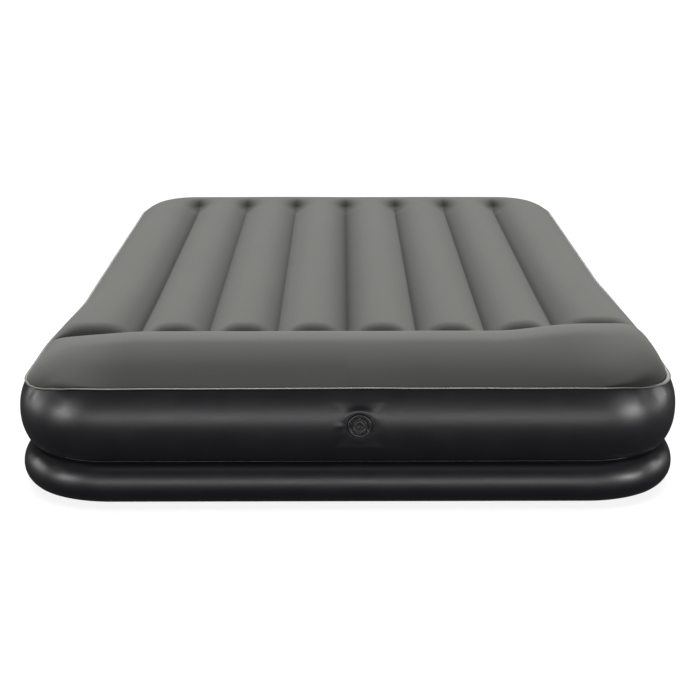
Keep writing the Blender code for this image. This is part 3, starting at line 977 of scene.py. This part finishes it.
# ---------------------------------------------------------------- valve seat
# The fixed half of the screw valve, moulded in black plastic: a collar with a rounded
# rim and a flange behind it that is welded to the wall, with a round PVC patch on top.
# Its profiles are in millimetres, as radius and depth from the head plane.
TURN_STEPS = 96
SEAT_RIDGES = 5
FIRST_RIDGE = 19.0
RIDGE_PITCH = 3.2
PLASTIC_COLOUR = (0.007, 0.007, 0.0075)
AXIS = Vector((VALVE_X, HEAD, VALVE_HEIGHT))

plastic, plastic_shader, build = new_finish("valve_plastic", 0.3, PLASTIC_COLOUR)
plastic_shader.inputs["Specular IOR Level"].default_value = 0.5
spark = build.noise(2600.0, 1.0)
scuff = build.noise(180.0, 3.0)
feed(plastic_shader, "Base Color", scuff.mix(tone(PLASTIC_COLOUR, 0.8), tone(PLASTIC_COLOUR, 1.5)))
feed(plastic_shader, "Roughness", 0.26 + scuff * 0.14)
feed(plastic_shader, "Normal", bump(build, spark, 0.12, 0.0002))

RUBBER_COLOUR = (0.010, 0.010, 0.010)
rubber, rubber_shader, build = new_finish("valve_rubber", 0.55, RUBBER_COLOUR)
bloom = build.noise(240.0, 3.0)
feed(rubber_shader, "Base Color", bloom.mix(tone(RUBBER_COLOUR, 0.8), tone(RUBBER_COLOUR, 1.9)))
feed(rubber_shader, "Roughness", 0.48 + bloom * 0.16)


def turned(profile, steps=TURN_STEPS):
    """A solid of revolution about the valve's axis from (radius, depth) in millimetres."""
    mesh = bmesh.new()
    verts = [mesh.verts.new((radius / 1000, depth / 1000, 0.0)) for radius, depth in profile]
    edges = [
        mesh.edges.new(pair) for pair in zip(verts, verts[1:] + verts[:1])
        if pair[0].co.x > 0 or pair[1].co.x > 0
    ]
    bmesh.ops.spin(
        mesh, geom=verts + edges, cent=(0, 0, 0), axis=(0, 1, 0),
        angle=2 * math.pi, steps=steps, use_merge=True,
    )
    bmesh.ops.remove_doubles(mesh, verts=mesh.verts, dist=MERGE)
    bmesh.ops.recalc_face_normals(mesh, faces=mesh.faces)
    return mesh


def add_moulding(name, mesh, finish, body, node, edge=0.0003):
    """Place a valve piece on its axis, round its edges and let it ride on its body."""
    bmesh.ops.translate(mesh, verts=mesh.verts, vec=AXIS)
    piece = add_piece(name, mesh, finish, body)
    rounding = piece.modifiers.new("edges", "BEVEL")
    rounding.width = edge
    rounding.segments = 2
    rounding.limit_method = "ANGLE"
    rounding.angle_limit = math.radians(35.0)
    if node:
        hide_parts(node)


seat_profile = [
    (22.0, 1.2), (22.3, 0.4), (23.0, 0.0), (25.2, 0.0), (26.1, 0.4), (26.5, 1.3), (26.5, 11.0),
    (36.6, 11.0), (37.0, 11.4), (37.0, 12.5), (24.4, 12.5), (24.4, 24.0), (17.6, 24.0),
    (17.6, 21.8), (22.0, 21.8),
]
for ridge in range(SEAT_RIDGES):
    depth = FIRST_RIDGE - RIDGE_PITCH * ridge
    seat_profile += [(22.0, depth), (21.75, depth - 0.5), (21.75, depth - 0.9), (22.0, depth - 1.4)]
add_moulding("seat", turned(seat_profile), plastic, "valve", "valve_seat")

patch_mesh = turned(
    [(27.4, 3.3), (27.8, 2.9), (30.8, 2.9), (31.4, 3.4), (31.4, 3.7), (27.4, 3.7)]
)
add_moulding("valve_patch", patch_mesh, vinyl, "valve", None, 0.0002)


# ---------------------------------------------------------------- valve plug and gasket
# The screw plug carries the inflation port. Its face is dished between a ribbed grip rim
# and a raised port, and a soft ring behind it seals against the seat.
GRIP_NOTCHES = 24
GRIP_RADII = (0.0197, 0.0203)
GRIP_DEPTH = 0.0068
NOTCH_DEPTH = 0.0007
plug_profile = [
    (20.0, 1.4), (20.5, 0.9), (21.0, 0.9), (21.5, 1.4), (21.5, 19.9), (19.6, 19.9), (19.6, 8.8),
    (12.0, 8.8), (12.0, 16.0), (9.5, 16.0), (9.5, 4.0), (10.0, 3.9), (11.4, 4.0), (12.0, 4.6),
    (12.0, 6.6), (12.4, 7.0), (19.4, 7.0), (19.8, 6.6),
]
plug_mesh = turned(plug_profile, 4 * GRIP_NOTCHES)
for vertex in plug_mesh.verts:
    radius = math.hypot(vertex.co.x, vertex.co.z)
    around = math.atan2(vertex.co.z, vertex.co.x)
    if GRIP_RADII[0] < radius < GRIP_RADII[1] and vertex.co.y < GRIP_DEPTH:
        notch = max(math.cos(around * GRIP_NOTCHES), 0.0)
        factor = 1.0 - NOTCH_DEPTH * notch / radius
        vertex.co.x *= factor
        vertex.co.z *= factor
add_moulding("plug", plug_mesh, plastic, "plug", "valve_plug", 0.0002)
gasket_mesh = turned(
    [(17.9, 20.5), (18.2, 20.2), (21.3, 20.2), (21.6, 20.5), (21.6, 21.5), (17.9, 21.5)]
)
add_moulding("gasket", gasket_mesh, rubber, "plug_carrier", "valve_gasket")


# ---------------------------------------------------------------- stopper and its strap
# The cap that closes the inflation port: a ribbed disc with a sunk middle and a small
# pull ring at its lower edge. It hangs on a soft strap rooted in the plug.
PULL_RING_DROP = 0.0150
PULL_RING_RADIUS = 3.5
PULL_RING_DEPTH = 1.4
PULL_RING_SECTION = (1.1, 0.9)
PULL_RING_SIDES = 8
cap_profile = [
    (0.0, 5.8), (5.6, 5.8), (6.2, 5.2), (6.2, 2.0), (6.8, 1.2), (9.6, 1.2), (10.2, 1.9),
    (12.6, 1.9), (13.2, 1.2), (15.8, 1.2), (16.4, 1.8), (16.4, 3.7), (8.4, 3.7), (8.4, 7.2),
    (0.0, 7.2),
]
cap_mesh = turned(cap_profile)
ring_profile = []
for step in range(PULL_RING_SIDES):
    angle = math.radians(360 / PULL_RING_SIDES * step)
    ring_profile.append((
        PULL_RING_RADIUS + PULL_RING_SECTION[0] * math.cos(angle),
        PULL_RING_DEPTH + PULL_RING_SECTION[1] * math.sin(angle),
    ))
ring_mesh = turned(ring_profile, 32)
bmesh.ops.translate(ring_mesh, verts=ring_mesh.verts, vec=(0.0, 0.0, -PULL_RING_DROP))
ring_data = bpy.data.meshes.new("pull_ring")
ring_mesh.to_mesh(ring_data)
ring_mesh.free()
cap_mesh.from_mesh(ring_data)
add_moulding("stopper_cap", cap_mesh, plastic, "stopper", "stopper", 0.0002)

cap_low, cap_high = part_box("stopper")
STRAP_LAP = 0.0016
STRAP_HALF_WIDTH = 0.0028
STRAP_THICKNESS = 0.0009
HINGE_REACH = 0.0008
strap_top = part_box("stopper_strap")[1].z - 0.0002
strap_foot = cap_high.z - STRAP_LAP
strap_mesh = bmesh.new()
bmesh.ops.create_grid(strap_mesh, x_segments=6, y_segments=24, size=1)
for vertex in strap_mesh.verts:
    part = (vertex.co.y + 1) / 2
    waist = 1.0 - 0.25 * math.sin(math.pi * part)
    depth = cap_low.y + 0.0010 - 0.0012 * math.sin(math.pi * part) + 0.0006 * part
    vertex.co = Vector((
        VALVE_X + vertex.co.x * STRAP_HALF_WIDTH * waist, depth,
        strap_foot + (strap_top - strap_foot) * part,
    ))
bmesh.ops.reverse_faces(strap_mesh, faces=strap_mesh.faces)
strap = add_piece("strap", strap_mesh, rubber, None)
thicken(strap, STRAP_THICKNESS, 0.0)
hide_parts("stopper_strap")
hinge_z = joints["stopper_swing"]["pos_m"][2]
hinge_z + HINGE_REACH
hinge_z - HINGE_REACH
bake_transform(strap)


# ---------------------------------------------------------------- check flap
# A soft disc behind the port that the air inside presses shut.
flap_low, flap_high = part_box("check_flap")
flap_radius = (flap_high.x - flap_low.x) / 2 * 1000
flap_front = (flap_low.y - HEAD) * 1000
flap_back = (flap_high.y - HEAD) * 1000
flap_mesh = turned([
    (0.0, flap_front), (flap_radius - 0.3, flap_front), (flap_radius, flap_front + 0.3),
    (flap_radius, flap_back - 0.3), (flap_radius - 0.3, flap_back), (4.0, flap_back),
    (3.6, flap_back - 0.3), (0.0, flap_back - 0.3),
])
add_moulding("flap_disc", flap_mesh, rubber, "flap", "check_flap", 0.0001)


# ---------------------------------------------------------------- what each light reaches
# The front panels are kept off the flocking and only draw the vinyl's sheen. The side
# panels shape the channels, and the floor has its own even light.
def reach(lights, pieces, name):
    """Limit lights to some pieces."""
    receivers = bpy.data.collections.new(name)
    for piece in pieces:
        receivers.objects.link(piece)
    for light in lights:
        light.light_linking.receiver_collection = receivers


bed = [piece for piece in scene.objects if piece.type == "MESH" and piece is not floor]
reach(front_panels, [piece for piece in bed if piece is not flocked_top], "vinyl_lit")
reach(side_panels, [flocked_top], "flocking_lit")
reach([back_light], bed, "bed_lit")
reach([floor_light, floor_shade_light], [floor], "floor_lit")
